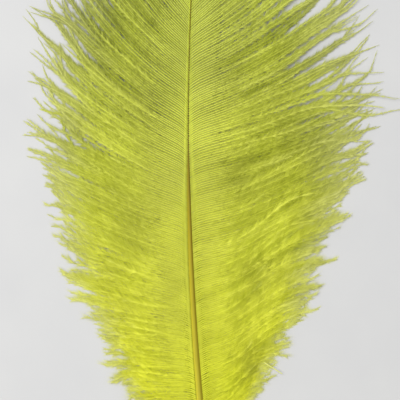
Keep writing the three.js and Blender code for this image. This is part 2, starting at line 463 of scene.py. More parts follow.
def parted(side, roots, t):
    """How far the strands beside a parting bend away from it, in mm."""
    middle = strand_mean(roots, roots["station"])
    closed = GAP_CLOSES * ease(CLOSES_FROM, PAST_TIP, t)
    bend = 0
    for station, opening, start in PARTINGS[side]:
        away = middle - station
        push = np.sign(away) * opening * np.exp(-np.abs(away) / PARTING_SPREAD) / 2
        bend = bend + push * ease(start, start + GAP_GROWS, t) * (1 - closed)
    return bend


print("partings:", {side: len(PARTINGS[side]) for side in SIGN})

# %% Curl and lean of the strands
CURL = {  # station, bend of the tips
    "left": [(30, -1), (70, -0.6), (100, 0), (140, 0.3), (170, 0.9), (254, 0.6)],
    "right": [(30, -0.6), (80, 0), (130, 0.2), (170, 0.2), (254, 0.4)],
}
CURL_FROM = (0.55, 0.82)  # earliest and latest share of the length where a strand starts to curl
LOOSE_SOONER = 0.12
CURL_SIZE = (0.26, 0.08)
LOOSE_CURL_SIZE = (0.34, 0.18)
WINDING = 0.15
DOWN_UNWOUND = 0.7  # how much less the downy strands wind
SWAY = 0.01
LOOSE_SWAY = (0.03, 0.07)
SWAY_OVER = (0.05, 0.5)  # share of its length over which a strand comes to sway
LEAN = {  # station, how far the loose barbs lean towards the tip
    "left": [(30, 0), (110, 0.06), (155, 0), (254, 0)],
    "right": [(30, 0.05), (60, 0.12), (95, 0.13), (120, 0.06), (150, 0), (254, 0)],
}
LEAN_SPREAD = (0.4, 1.2)
LEAN_OVER = (0.25, 0.75)


def strand_bends(side, roots, reach, t, loose, rng):
    """How far each strand leaves its lock's line sideways, in mm. Loose strands leave it further."""
    strands = strand_count(roots)
    station = roots["station"][:, None]
    bushy = bushiness(station)
    start = strand_draw(roots, rng.uniform(*CURL_FROM, strands)) - LOOSE_SOONER * loose
    way = np.clip((t - start) / (1 - start), 0, 1)
    curl = smooth(CURL[side], station) + strand_draw(roots, rng.normal(0, 1, strands))
    curl = curl * mix(mix(*CURL_SIZE, bushy), mix(*LOOSE_CURL_SIZE, bushy), loose)
    turn = strand_draw(roots, rng.uniform(0, WINDING, strands)) * (1 - DOWN_UNWOUND * bushy)
    phase = strand_draw(roots, rng.random(strands))
    bend = reach * (1 - start) * (curl * way**2 + turn * way * np.sin(2 * np.pi * (way + phase)))
    sway = strand_draw(roots, rng.normal(0, 1, strands)) * mix(SWAY, mix(*LOOSE_SWAY, bushy), loose)
    bend = bend + reach * t * sway * ease(*SWAY_OVER, t)
    lean = smooth(LEAN[side], station) * strand_draw(roots, rng.uniform(*LEAN_SPREAD, strands))
    return bend + reach * lean * loose * ease(*LEAN_OVER, t)


print("the most that loose barbs lean:", {side: max(row[1] for row in LEAN[side]) for side in SIGN})

# %% Fray and wave of single barbs
FRAY = (0.6, 1.1)  # mm
FRAY_FROM = 0.6
WAVE = 0.3  # mm
WAVES = (1, 2.5)  # the fewest and the most in a lock's length


def frayed(bend, bushy, t, rng):
    """Adds to a strand's bend what each of its barbs does on its own."""
    one = (len(t), 1)
    tip = np.clip((t / t[:, -1:] - FRAY_FROM) / (1 - FRAY_FROM), 0, 1)
    fray = rng.normal(0, 1, one) * mix(*FRAY, bushy) * tip**2
    wave = rng.normal(0, WAVE, one) * t
    wave = wave * np.sin(2 * np.pi * (rng.uniform(*WAVES, one) * t + rng.random(one)))
    return bend + fray + wave


print("fray at the tips, mm:", FRAY)

# %% Heights of the barbs
LEVELS = 0.9  # how far the fine strands lie over each other
DOWN_LEVELS = {"left": 0.6, "right": 0.9}
LOOSE_HIGHER = (0.25, 0.5)
LEVEL_MIDDLE = 0.4
LEVEL_HEIGHT = 1.2  # mm
LEVELS_OVER = (0.1, 0.55)  # share of the length over which the levels part
ROOT_THICK = 0.3  # of a lock, in mm
LOCK_THICK = 2.2
TIP_THICK = 0.7
FULL_AT = 0.35
IN_LOCK = 0.45  # where in a lock's thickness its barbs lie
ROOT_HEIGHT = (0.45, 1.2)  # over the shaft's half height, low and high on the plume
ROOTS_CLIMB = (140, 165)  # stations between which the roots climb
LOOSE_ROOT = 0.3  # loose barbs come from between the others
LOOSE_DEEPER = 0.5  # mm
LOOSE_UP_FROM = 0.04
LOOSE_UP_AT = (0.5, 0.22)
HEIGHT_SPREAD = 0.3
SPREAD_OVER = (0.03, 0.3)
FROM_SHAFT = 0.12  # share of the length over which a barb comes down from the shaft


def barb_layers(side, roots, bushy, loose, rng):
    """How high each barb lies among the others, from 0 up."""
    level = mix(LEVELS, DOWN_LEVELS[side], bushy)
    return strand_draw(roots, rng.random(strand_count(roots))) * level + mix(*LOOSE_HIGHER, bushy) * loose


def barb_heights(roots, bushy, layer, t, rng):
    """Height of the barbs over the lower face of their lock, in mm."""
    station = roots["station"][:, None]
    over = roots["over"][:, None]
    thick = mix(ROOT_THICK, LOCK_THICK, ease(0, FULL_AT, t))
    thick = mix(thick, TIP_THICK, ease(FULL_AT, 1, t))
    root = mix(*ROOT_HEIGHT, ease(*ROOTS_CLIMB, station)) * SHAFT_FLATNESS * half_width(station)
    root = root * mix(1, LOOSE_ROOT, over)
    deeper = LOOSE_DEEPER * over * (1 - ease(LOOSE_UP_FROM, mix(*LOOSE_UP_AT, bushy), t))
    lift = thick * IN_LOCK + (layer - LEVEL_MIDDLE) * LEVEL_HEIGHT * ease(*LEVELS_OVER, t) - deeper
    spread = rng.uniform(-HEIGHT_SPREAD, HEIGHT_SPREAD, layer.shape) * ease(*SPREAD_OVER, t)
    return mix(root, lift + spread, ease(0, FROM_SHAFT, t))


print("thickest part of a lock, mm:", LOCK_THICK)

# %% Paths of the barbs
STEPS = 54
STEPS_CROWD = 1.3  # above 1, the steps are shorter at the root
ROOT_RISE = (2.7, 1.7)  # mm that a barb climbs beside the shaft
ROOT_TURN = {"left": 2.0, "right": 3.2}  # mm in which it turns outwards
FULL_RISE = 12  # shorter barbs climb less
FREE_SHARE = 0.35  # share of the fine strands that lie loose on the others
FREE_BELOW = 0.3  # how downy such a strand may be
FLOOR_GAP = 0.15  # mm between a barb's middle and the table


def barb_paths(side, roots, rng):
    """Points along the middle of every barb, as barbs by steps by xyz, and each barb's layer."""
    station = roots["station"][:, None]
    bushy = bushiness(station)
    length = barb_lengths(roots, bushy, rng)
    t = np.linspace(0, 1, STEPS + 1)[None, :] ** STEPS_CROWD * length
    offset = strand_offsets(side, roots, t, rng)
    lock = roots["lock"][:, None]
    next_lock = lock + np.sign(offset).astype(int)
    path = mix(lock_middle(side, lock, t), lock_middle(side, next_lock, t), np.abs(offset)[..., None])
    reach = smooth(OUTLINE[side], station)
    rise = mix(*ROOT_RISE, bushy) * np.exp(-reach * t / ROOT_TURN[side])
    path[..., 1] -= rise * ease(0, FULL_RISE, reach)

    ahead = np.gradient(path[..., :2], axis=1)
    ahead /= np.linalg.norm(ahead, axis=-1, keepdims=True)
    across = np.stack([-ahead[..., 1], ahead[..., 0]], axis=-1) * SIGN[side]
    free = strand_draw(roots, rng.random(strand_count(roots))) < FREE_SHARE * (bushy < FREE_BELOW)
    loose = roots["over"][:, None] | free
    bend = strand_bends(side, roots, reach, t, loose, rng) + parted(side, roots, t)
    path[..., :2] += across * frayed(bend, bushy, t, rng)[..., None]

    layer = barb_layers(side, roots, bushy, loose, rng)
    path[..., 2] += barb_heights(roots, bushy, layer, t, rng)
    path[..., 2] = np.maximum(path[..., 2], FLOOR_GAP)
    return path, layer[:, 0]


paths_of, layers_of = {}, {}
for side in SIGN:
    paths_of[side], layers_of[side] = barb_paths(side, roots_of[side], dice[side])
    print(side, "barbs reach, mm:", round(float(np.abs(paths_of[side][..., 0]).max()), 1))

# %% [markdown]
# ## Ramus and barbules
# Each barb is a thin horn stem, the ramus, with a fringe of barbules on both sides. An ostrich's
# barbules have no hooks, so they stay loose, and that makes the plume fluffy. The ramus is a
# three-sided tapering tube. A barbule is finer than a hair, so one slim triangle is enough, and the
# fringe's triangles share their corners along the ramus. In the down the barbules are long: those
# towards the tip lie over the next barb, and those towards the quill lie beneath the one before.
# Hair curves would be easier, but only meshes leave Blender with the model, so the arrays are
# filled with numbers and become meshes once.

# %% Ramus tubes
RAMUS_EVERY = 3  # steps of a path to one ring of its tube
RAMUS_BASE = 0.46  # half width beside the shaft, where the barbs are broad and touch
RAMUS_HALF = 0.14
RAMUS_TIP = 0.06
BASE_LENGTH = [(30, 3.6), (120, 2.8), (160, 1.3), (250, 0.8)]  # station, length of the broad base
BASE_NARROWS = (0.4, 1.3)  # over that length
BASE_FLATNESS = 0.35
SECTION = np.array([(-1, -0.35), (1, -0.35), (0, 0.8)])  # across and up
UP = np.array([0, 0, 1.0])


def path_frames(path):
    """Unit vectors along and across each path, and the length of path up to each point."""
    ahead = np.gradient(path, axis=1)
    ahead /= np.linalg.norm(ahead, axis=-1, keepdims=True)
    across = np.stack([-ahead[..., 1], ahead[..., 0], np.zeros(ahead.shape[:2])], axis=-1)
    across /= np.linalg.norm(across, axis=-1, keepdims=True)
    steps = np.linalg.norm(np.diff(path, axis=1), axis=-1)
    run = np.concatenate([np.zeros((len(path), 1)), np.cumsum(steps, axis=1)], axis=1)
    return ahead, across, run


def ramus_tubes(path, across, run, station):
    """Points and triangles of the closed tubes, and each point's way out, barb, fringe and tone."""
    path, across, run = path[:, ::RAMUS_EVERY], across[:, ::RAMUS_EVERY], run[:, ::RAMUS_EVERY]
    count, rings = run.shape
    sides = len(SECTION)
    share = run / run[:, -1:]
    broad = 1 - ease(*BASE_NARROWS, run / smooth(BASE_LENGTH, station)[:, None])
    half = mix(mix(RAMUS_HALF, RAMUS_TIP, share), RAMUS_BASE, broad)
    tall = mix(1, BASE_FLATNESS, broad) * half
    ring = SECTION[:, 0, None] * across[:, :, None, :] * half[:, :, None, None]
    ring = ring + SECTION[:, 1, None] * UP * tall[:, :, None, None]
    points = path[:, :, None, :] + ring
    number = np.arange(count * rings * sides).reshape(count, rings, sides)
    here, there = number[:, :-1], number[:, 1:]
    beside = np.roll(number, -1, axis=2)
    quads = np.stack([here, beside[:, :-1], beside[:, 1:], there], axis=-1).reshape(-1, 4)
    walls = np.concatenate([quads[:, [0, 1, 2]], quads[:, [0, 2, 3]]])
    caps = np.concatenate([number[:, 0, ::-1], number[:, -1, :]])
    out = np.broadcast_to(run[:, :, None], number.shape).ravel()
    barb = np.broadcast_to(np.arange(count)[:, None, None], number.shape).ravel()
    none = np.zeros(number.size)
    return points.reshape(-1, 3), np.concatenate([walls, caps]), out, barb, none, none


print("rings to a ramus:", STEPS // RAMUS_EVERY + 1)

# %% Shape of the barbules
DOWN_FROM = {  # station, distance out where the down starts
    "left": [(30, 6), (90, 8), (125, 11), (160, 11), (254, 8)],
    "right": [(30, 4), (100, 4), (140, 8), (254, 8)],
}
FULL_DOWN = 14  # mm further out
FINE_DOWN = 0.35  # how downy a fine barb gets
HALF_DOWN = 0.5  # a barb above it has the tufts and the feet of down
TUFT = (9, 18)  # barbules that bend together
BARBULE_LENGTH = (2.1, 2.3)
FIRST_LENGTH = 0.5  # share of it beside the shaft
FULL_LENGTH_AT = (1.5, 8)  # mm out
DOWN_LENGTH = (3.0, 4.8)  # barbules of down, on the side towards the quill and on the side towards the tip
DOWN_RISE = (-0.3, 0.12)
OUTER_SHORTER = (0.1, 0)
OUTER = (0.4, 0.8)  # share of a barb's length
TIP_SHORTER = (0.9, 0.35)
TIP_FROM = (0.75, 0.82)
LENGTH_DRIFT = 0.3
DRIFT_LIMITS = (0.3, 1.6)
LENGTH_DRAW = (0.55, 1.2)
ROOT_ANGLE = 60  # degrees between the ramus and its first barbules
ANGLE = (25, 31)
ANGLE_OVER = (1, 14)  # mm out
TIP_ANGLE = (8, 12)  # degrees less at the tip
TIP_ANGLE_OVER = (0.6, 1)
ANGLE_DRIFT = (7, 10)
ANGLE_DRAW = 5
RISE_DRIFT = 0.2
RISE_DRAW = 0.12
DOWN_CALMER = 0.5  # down rises and falls less
FINE_RISE = (-0.45, -0.15)  # beside the shaft and further out
RISE_OVER = (2, 20)  # mm out


def tufted(count, size, rng):
    """Random numbers around 0 that drift from barbule to barbule, so the fringe is ragged."""
    knots = rng.normal(0, 1, count // size + 3)
    return np.interp(np.arange(count) / size + rng.random(), np.arange(len(knots)), knots)


def barbule_shape(station, run, share, upper, down_from, rng):
    """Length, angle to the ramus and rise of barbules, from where they grow."""
    bushy = bushiness(station)
    down = mix(FINE_DOWN, 1, bushy) * ease(down_from, down_from + FULL_DOWN, run)
    count = len(run)
    size = TUFT[int(bushy > HALF_DOWN)]
    length = mix(FIRST_LENGTH, 1, ease(*FULL_LENGTH_AT, run)) * mix(*BARBULE_LENGTH, bushy)
    length = mix(length, DOWN_LENGTH[upper], down)
    length = length * (1 - mix(*OUTER_SHORTER, bushy) * ease(*OUTER, share))
    length = length * (1 - mix(*TIP_SHORTER, bushy) * ease(mix(*TIP_FROM, bushy), 1, share))
    length = length * np.clip(1 + LENGTH_DRIFT * tufted(count, size, rng), *DRIFT_LIMITS)
    length = length * rng.uniform(*LENGTH_DRAW, count)
    angle = mix(ROOT_ANGLE, mix(*ANGLE, bushy), ease(*ANGLE_OVER, run))
    angle = angle - mix(*TIP_ANGLE, bushy) * ease(*TIP_ANGLE_OVER, share)
    drift = tufted(count, size, rng) * mix(*ANGLE_DRIFT, down)
    angle = np.radians(angle + drift + rng.normal(0, ANGLE_DRAW, count))
    rise = RISE_DRIFT * tufted(count, size, rng) + rng.normal(0, RISE_DRAW, count)
    rise = mix(1, DOWN_CALMER, down) * rise
    rise = rise + mix(mix(*FINE_RISE, ease(*RISE_OVER, run)), DOWN_RISE[upper], down)
    return length, angle, rise


print("longest barbules, mm:", DOWN_LENGTH)

# %% Barbule fringes
BARBULES_PER_MM = 14
FEET_APART = (3, 2)  # barbules between the two feet of one
BARBULE_FOOT = 0.5  # on the way from the ramus, 0, to the end of a barbule, 1
BARE_BASE = 0.45  # share of the broad base that has no barbules
FRINGE_ENDS = 0.985  # share of a barb's length
FEWEST = 4  # barbules, or the barb stays bare
TIP_FLOOR = 0.03  # mm between a barbule's end and the table
# Patches along a barb: small random changes of tone, and above PATCH_TURNS painted shade for a shadowed gap
# in the fringe.
PATCH_TURNS = 0.8  # a drifting number above it makes a dark patch
PATCH_LIGHT = 0.7
PATCH_TOP = 0.56
PATCH_PAINTED_SHADE = 1.6
PATCH_LOW = -0.7


def patchy(wave):
    """Light and dark patches from drifting numbers: mostly a little lighter at random, now and then much
    darker with painted shade, as in a shadowed gap of the fringe.
    """
    light = PATCH_LIGHT * wave
    dark = PATCH_TOP - PATCH_PAINTED_SHADE * (wave - PATCH_TURNS)
    return np.maximum(np.where(wave < PATCH_TURNS, light, dark), PATCH_LOW)


def along_path(at, run, values):
    """Reads what is given at the points of a path at other distances along it."""
    return np.stack([np.interp(at, run, values[:, k]) for k in range(3)], axis=1)


def barbule_fringes(side, path, ahead, across, run, station, rng):
    """Points and triangles of the fringes, and each point's way out, barb, fringe and tone."""
    down_from = smooth(DOWN_FROM[side], station)
    points, triangles, out, barb, fringe, tone = [], [], [], [], [], []
    start = 0
    for i, total in enumerate(run[:, -1]):
        begin = BARE_BASE * smooth(BASE_LENGTH, station[i])
        count = int((total * FRINGE_ENDS - begin) * BARBULES_PER_MM)
        if count < FEWEST:
            continue
        downy = int(bushiness(station[i]) > HALF_DOWN)
        feet_apart = FEET_APART[downy]
        at = begin + np.arange(count + feet_apart) / BARBULES_PER_MM
        share = np.minimum(at[:count] / total, 1)
        foot = along_path(at, run[i], path[i])
        forward = along_path(at, run[i], ahead[i])[:count]
        sideways = along_path(at, run[i], across[i])[:count]
        patch_tone_and_shade = patchy(tufted(len(at), TUFT[downy], rng))
        points.append(foot)
        out.append(at)
        fringe.append(np.full(len(at), BARBULE_FOOT))
        tone.append(patch_tone_and_shade)
        first = start
        start += len(at)
        for flank in (-1, 1):
            upper = int(flank * sideways[:, 1].mean() > 0)
            shape = barbule_shape(station[i], at[:count], share, upper, down_from[i], rng)
            length, angle, rise = [values[:, None] for values in shape]
            way = np.cos(angle) * forward + flank * np.sin(angle) * sideways
            tip = (foot[:count] + foot[feet_apart:]) / 2 + length * (way + rise * UP)
            tip[:, 2] = np.maximum(tip[:, 2], TIP_FLOOR)
            points.append(tip)
            out.append(at[:count])
            fringe.append(np.ones(count))
            tone.append(patch_tone_and_shade[:count])
            feet = first + np.arange(count)
            corners = [feet, feet + feet_apart][::flank]
            triangles.append(np.stack([*corners, start + np.arange(count)], axis=1))
            start += count
        barb.append(np.full(start - first, i))
    return [np.concatenate(rows) for rows in (points, triangles, out, barb, fringe, tone)]


print("barbules to a millimetre of ramus:", 2 * BARBULES_PER_MM)

# %% [markdown]
# ## Meshes from the arrays
# The arrays of a stretch of vane become one mesh. Its points carry four numbers that the finish reads later:
# how pale a barb's end is, how strong the painted stripes of light and shade are, how far out on the fringe a
# point lies, and its tint, which carries painted shade as well. A map named OFBake gives each barb its own
# narrow row, so that its colours have a place to be stored.

# %% From arrays to a piece
MAP_COLUMNS = 12
MAP_MARGIN = 0.12


def barb_map(triangles, along, barb, fringe, rows):
    """Corners of every triangle in the map: one row to a barb, one column to a stretch of it."""
    middle = along[triangles].mean(axis=1)
    column = np.clip((middle * MAP_COLUMNS).astype(int), 0, MAP_COLUMNS - 1)
    band = barb[triangles[:, 0]] * 2 + (fringe[triangles].max(axis=1) > 0)
    corner_u = np.array([MAP_MARGIN, 1 - MAP_MARGIN, 0.5])
    corner_v = np.array([MAP_MARGIN, MAP_MARGIN, 1 - MAP_MARGIN])
    u = (column[:, None] + corner_u) / MAP_COLUMNS
    v = (band[:, None] + corner_v) / (2 * rows)
    return np.stack([u, v], axis=-1).reshape(-1, 2)


def make_piece(name, points, triangles, numbers, map_corners):
    mesh = bpy.data.meshes.new(name)
    mesh.vertices.add(len(points))
    mesh.vertices.foreach_set("co", ((points + shift) * MM).astype(np.float32).ravel())
    mesh.loops.add(triangles.size)
    mesh.loops.foreach_set("vertex_index", triangles.astype(np.int32).ravel())
    mesh.polygons.add(len(triangles))
    mesh.polygons.foreach_set("loop_start", np.arange(0, triangles.size, 3, dtype=np.int32))
    mesh.polygons.foreach_set("loop_total", np.full(len(triangles), 3, np.int32))
    mesh.update(calc_edges=True)
    mark(mesh, numbers)
    layer = mesh.uv_layers.new(name="OFBake")
    layer.data.foreach_set("uv", map_corners.astype(np.float32).ravel())
    piece = bpy.data.objects.new(name, mesh)
    bpy.context.scene.collection.objects.link(piece)
    return piece


print("stretches of a barb in the map:", MAP_COLUMNS)

# %% [markdown]
# ## Light and dark among the barbs
# Under one dye a plume has many tints. Beside the shaft, painted light on the pale stems and painted shade on
# the barbules between them make fine stripes. Further out each strand is a little lighter or darker than the
# next, and lower strands get painted shade. Single barbs are patchy, now and then with a dark patch of
# painted shade, and there is painted shade in the hollows where the barbs lie deeper. A texture laid over the
# whole vane would cut across the barbs. So these tints are worked out barb by barb, as numbers on the points
# of the mesh, and the finish only reads them. A tint is 0 where a barb is dark and 1 where it is light.

# %% Own tint of each barb
# A barb's layer gives painted shade: the lower it lies, the darker its tint.
TINT_SHARES = (0.35, 0.35, 0.3)  # what a barb's layer, its strand and its own draw count for
MIDDLE_TINT = 0.45
TINT_CONTRAST = 1.8
TOP_TINT = 0.8
LOOSE_DOWN_TINT = (-0.5, 0.9)  # the darkest and the lightest loose barb in the down
EVEN_TINT = 0.55  # the tint of all barbs where they are even
EVEN = {  # station, how even the tints are there
    "left": [(30, 0.7), (110, 0.5), (150, 0)],
    "right": [(30, 0.5), (75, 0.2), (100, 0)],
}


def barb_tints(side, roots, layer, rng):
    """A tint for each barb. Barbs that lie lower get painted shade, so those that lie higher are lighter."""
    own = rng.random(len(layer))
    strand = strand_draw(roots, rng.random(strand_count(roots)))[:, 0]
    painted_shade_by_layer, by_strand, by_own = TINT_SHARES
    tint = painted_shade_by_layer * np.minimum(layer, 1) + by_strand * strand + by_own * own
    tint = np.minimum(MIDDLE_TINT + TINT_CONTRAST * (tint - 0.5), TOP_TINT)
    loose = mix(tint, mix(*LOOSE_DOWN_TINT, strand), bushiness(roots["station"]))
    tint = np.where(roots["over"], loose, tint)
    return mix(tint, EVEN_TINT, smooth(EVEN[side], roots["station"]))


tints_of = {side: barb_tints(side, roots_of[side], layers_of[side], dice[side]) for side in SIGN}
print("mean tint:", {side: round(float(tints.mean()), 2) for side, tints in tints_of.items()})

# %% Painted shade in hollows
# Hollows are patches of painted shade, where the barbs lie deeper and less light falls in.
SHADE_HOLLOW_GRID = (120, 20)
SHADE_HOLLOW_SIZE = (2.4, 14)  # mm along the shaft and out from it
SHADE_HOLLOW_RANGE = (-0.1, 1.7)  # the part of the random numbers that makes a hollow


def painted_hollow_shade(grid, station, out):
    """Smooth random patches of painted shade, from 0 to 1, longer along the barbs than across them."""
    row, column = station / SHADE_HOLLOW_SIZE[0], out / SHADE_HOLLOW_SIZE[1]
    i, j = row.astype(int), column.astype(int)
    here = mix(grid[i, j], grid[i, j + 1], ease(0, 1, column - j))
    next_row = mix(grid[i + 1, j], grid[i + 1, j + 1], ease(0, 1, column - j))
    return ease(*SHADE_HOLLOW_RANGE, mix(here, next_row, ease(0, 1, row - i)))


hollow_shade_of = {side: dice[side].normal(0, 1, SHADE_HOLLOW_GRID) for side in SIGN}
print("room for hollows, mm:", [n * size for n, size in zip(SHADE_HOLLOW_GRID, SHADE_HOLLOW_SIZE)])

# %% Tints from the shaft to the edge
SHAFT_TINT = [  # station, what is added beside the shaft
    (60, 0.05), (90, 0.17), (110, 0.2), (140, 0.24), (170, 0.12), (254, 0.15),
]
VANE_TINT = [(60, 0.45), (92, 0.36), (118, 0.13), (140, 0), (170, 0), (254, 0.05)]  # and further out
SIDE_TINT = {  # and all over each vane
    "left": [(60, -0.08), (100, -0.04), (125, -0.1), (165, -0.02), (254, 0.02)],
    "right": [(60, -0.25), (95, -0.14), (120, -0.04), (145, -0.12), (170, 0.18), (195, 0.15), (254, 0.1)],
}
# How dark the painted shade in a hollow is, along the shaft.
PAINTED_HOLLOW_SHADE = {  # station, how dark a hollow is
    "left": [(60, 0), (110, 0.1), (140, 0.4), (190, 0.6), (254, 0.5)],
    "right": [(60, 0.2), (110, 0.5), (150, 0.9), (190, 0.8), (254, 0.5)],
}
PATCHES = {  # station, how patchy a barb is
    "left": [(60, 0.25), (110, 0.25), (150, 0.4), (254, 0.5)],
    "right": [(60, 0.45), (110, 0.55), (254, 0.5)],
}
SHAFT_TINT_OVER = (1, 3)  # mm out where the tint beside the shaft sets in
SHAFT_TINT_LEAST = 0.6
VANE_TINT_OVER = (-2, 20)  # mm from where the down starts
FULL_PATCHES = 16  # mm from where the down starts
EVEN_INSIDE = (0.75, 0.7)  # how even the tints are beside the shaft
EVEN_UNTIL = (12, 8)  # mm out
UNEVEN_FROM = (40, 25)
# Loose barbs lie over the hollows, so they get less of the painted shade.
LOOSE_LESS_HOLLOW_SHADE = 0.6  # how much lighter a hollow is on a loose barb
LOOSE_ENDS = (0.1, -0.6)  # what a loose downy barb adds at its ramus and at its barbules' ends
EDGE_DARK = 0.15
EDGE_OVER = (25, 60)  # mm out
LIGHTEST = (0.95, 1.1)
# Painted light on the roots low on the plume, against the shade where they meet the shaft, and painted shade
# on them high on the plume.
ROOT_PAINTED_LIGHT_AND_SHADE = (0.25, -0.15)  # what is added at a root, low and high on the plume
ROOT_PAINT_TURNS = (140, 180)  # stations
ROOT_PAINT_FADES = (0.5, 1.6)  # mm out


def point_tints(side, spot):
    """Tint at each point of a stretch of vane, with its painted light and shade."""
    station, out, bushy, over = spot["station"], spot["out"], spot["bushy"], spot["over"]
    down_from = smooth(DOWN_FROM[side], station)
    even = mix(*EVEN_INSIDE, bushy) * (1 - ease(mix(*EVEN_UNTIL, bushy), mix(*UNEVEN_FROM, bushy), out))
    tint = mix(spot["tint"], EVEN_TINT, even) + smooth(SIDE_TINT[side], station)
    inner = smooth(SHAFT_TINT, station) * mix(SHAFT_TINT_LEAST, 1, ease(*SHAFT_TINT_OVER, out))
    start, end = [down_from + further for further in VANE_TINT_OVER]
    tint = tint + mix(inner, smooth(VANE_TINT, station), ease(start, end, out))
    # Painted shade in the hollows, with less of it on loose barbs.
    hollow = painted_hollow_shade(hollow_shade_of[side], station, out) * ease(down_from, down_from + FULL_DOWN, out)
    tint = tint - hollow * (1 - LOOSE_LESS_HOLLOW_SHADE * over) * smooth(PAINTED_HOLLOW_SHADE[side], station)
    tint = tint + over * bushy * mix(*LOOSE_ENDS, ease(BARBULE_FOOT, 1, spot["fringe"]))
    # Patches of random tone, with painted shade where they turn dark.
    patches = smooth(PATCHES[side], station) * ease(down_from, down_from + FULL_PATCHES, out)
    tint = tint + patches * spot["tone"]
    tint = np.minimum(tint - EDGE_DARK * ease(*EDGE_OVER, out) * (1 - bushy), mix(*LIGHTEST, bushy))
    # Painted light and shade at the roots beside the shaft.
    root = mix(*ROOT_PAINTED_LIGHT_AND_SHADE, ease(*ROOT_PAINT_TURNS, station)) * (1 - ease(*ROOT_PAINT_FADES, out))
    return tint + root


print("lightest tints:", LIGHTEST)

# %% Painted stripes and pale ends
STRIPES_FROM = (0.7, 1.4)  # over the length of the broad base
FINE_FADES = 0.5  # how much weaker the stripes of fine barbs get further out
FINE_FADES_OVER = (5, 30)  # mm out
DOWN_STRIPES = 0.22  # stripes of down, over those of fine barbs
DOWN_FADES = 0.1
DOWN_FADES_OVER = (8, 24)
LOOSE_STRIPES = (0.7, 0)
STRIPE_SPREAD = (0.7, 1.1)
HIGH_PAINTED_STRIPES = {"left": 1.7, "right": 1.05}  # how much stronger the stripes are high on the plume
HIGH_OVER = (140, 185)  # stations
PALE_FROM = (0.42, 0.7)  # share of a barb's length
LOOSE_PALE = 0.2


def stripes(side, spot, draws):
    """How strong the painted stripes are: painted light on the stems and painted shade on the barbules
    between them.
    """
    station, out, bushy = spot["station"], spot["out"], spot["bushy"]
    fine = 1 - FINE_FADES * ease(*FINE_FADES_OVER, out)
    down = DOWN_STRIPES - DOWN_FADES * ease(*DOWN_FADES_OVER, out)
    strong = ease(*STRIPES_FROM, out / smooth(BASE_LENGTH, station)) * mix(fine, down, bushy)
    strong = strong * mix(1, mix(*LOOSE_STRIPES, bushy), spot["over"]) * mix(*STRIPE_SPREAD, draws)
    return strong * mix(1, HIGH_PAINTED_STRIPES[side], ease(*HIGH_OVER, station))


def pale_ends(spot, along):
    return ease(mix(*PALE_FROM, spot["bushy"]), 1, along) * mix(1, LOOSE_PALE, spot["over"])


print("stripes high on the plume:", HIGH_PAINTED_STRIPES)

# %% [markdown]
# ## Both vanes
# Now the steps come together. A whole vane in one mesh would be too heavy to handle, and one mesh to
# a barb would fill the outliner, so each vane is grown in four stretches along the shaft.

# %% Grow both vanes
STRETCHES = {"lower": (0, 102), "middle": (102, 138), "upper": (138, 176), "tip": (176, 300)}  # stations


def grow_stretch(side, stretch):
    rng, roots = dice[side], roots_of[side]
    low, high = STRETCHES[stretch]
    pick = (roots["station"] >= low) & (roots["station"] < high)
    station = roots["station"][pick]
    path = paths_of[side][pick]
    ahead, across, run = path_frames(path)
    tubes = ramus_tubes(path, across, run, station)
    fringes = barbule_fringes(side, path, ahead, across, run, station, rng)
    triangles = np.concatenate([tubes[1], fringes[1] + len(tubes[0])])
    points, _, out, barb, fringe, tone = [np.concatenate(both) for both in zip(tubes, fringes)]
    along = np.minimum(out / run[barb, -1], 1)
    spot = {
        "station": station[barb], "bushy": bushiness(station)[barb], "over": roots["over"][pick][barb],
        "out": out, "fringe": fringe, "tone": tone, "tint": tints_of[side][pick][barb],
    }
    numbers = {
        "pale": pale_ends(spot, along), "painted_stripes": stripes(side, spot, rng.random(len(station))[barb]),
        "fringe": fringe, "tint": point_tints(side, spot),
    }
    corners = barb_map(triangles, along, barb, fringe, len(station))
    name = f"{side}_{stretch}_barbs"
    print(name, "barbs:", len(station), "triangles:", len(triangles))
    return make_piece(name, points, triangles, numbers, corners)


barb_pieces = [grow_stretch(side, stretch) for side in SIGN for stretch in STRETCHES]
print("triangles in all:", sum(len(p.data.polygons) for p in barb_pieces))

# %% [markdown]
# ## A broken barb
# One bare stem sticks out of the down on the lower right: a barb that lost its barbules and snapped.
# A thin cone with its point cut off is all it needs, laid along the line from its root to its end.

# %% The broken barb
BROKEN_ROOT = Vector((29.9, 70.3, 2.4))  # mm, in the plume's own frame
BROKEN_END = Vector((37.2, 65.6, 2.0))
BROKEN_HALF = 0.3
BROKEN_SIDES = 8


def model_broken_barb():
    line = BROKEN_END - BROKEN_ROOT
    middle = (BROKEN_ROOT + BROKEN_END) / 2 + Vector(shift)
    select_none()
    bpy.ops.mesh.primitive_cone_add(
        vertices=BROKEN_SIDES, radius1=BROKEN_HALF * MM, radius2=BROKEN_HALF * MM / 2,
        depth=line.length * MM, location=middle * MM, rotation=line.to_track_quat("Z", "Y").to_euler(),
    )
    piece = bpy.context.object
    piece.name = "broken_barb"
    bpy.ops.object.transform_apply(location=True, rotation=True, scale=True)
    bpy.ops.object.shade_smooth_by_angle(angle=SMOOTH_ANGLE)
    ones = np.ones(len(piece.data.vertices))
    mark(piece.data, {"pale": ones, "painted_stripes": 0 * ones, "fringe": 0 * ones, "tint": ones})
    return piece


barb_pieces.append(model_broken_barb())
print("broken barb faces:", len(barb_pieces[-1].data.polygons))

# %% [markdown]
# ## The dye
# The plume was dipped in a chartreuse dye. It took more of it, and more yellow, in the thick down by
# the quill, and is greener and duller towards the tip. A picture painted on the barbs would need a
# map of each, so nodes give the colour from a place on the plume. They sit in a group of their own,
# which keeps the finish of the barbs easy to read.

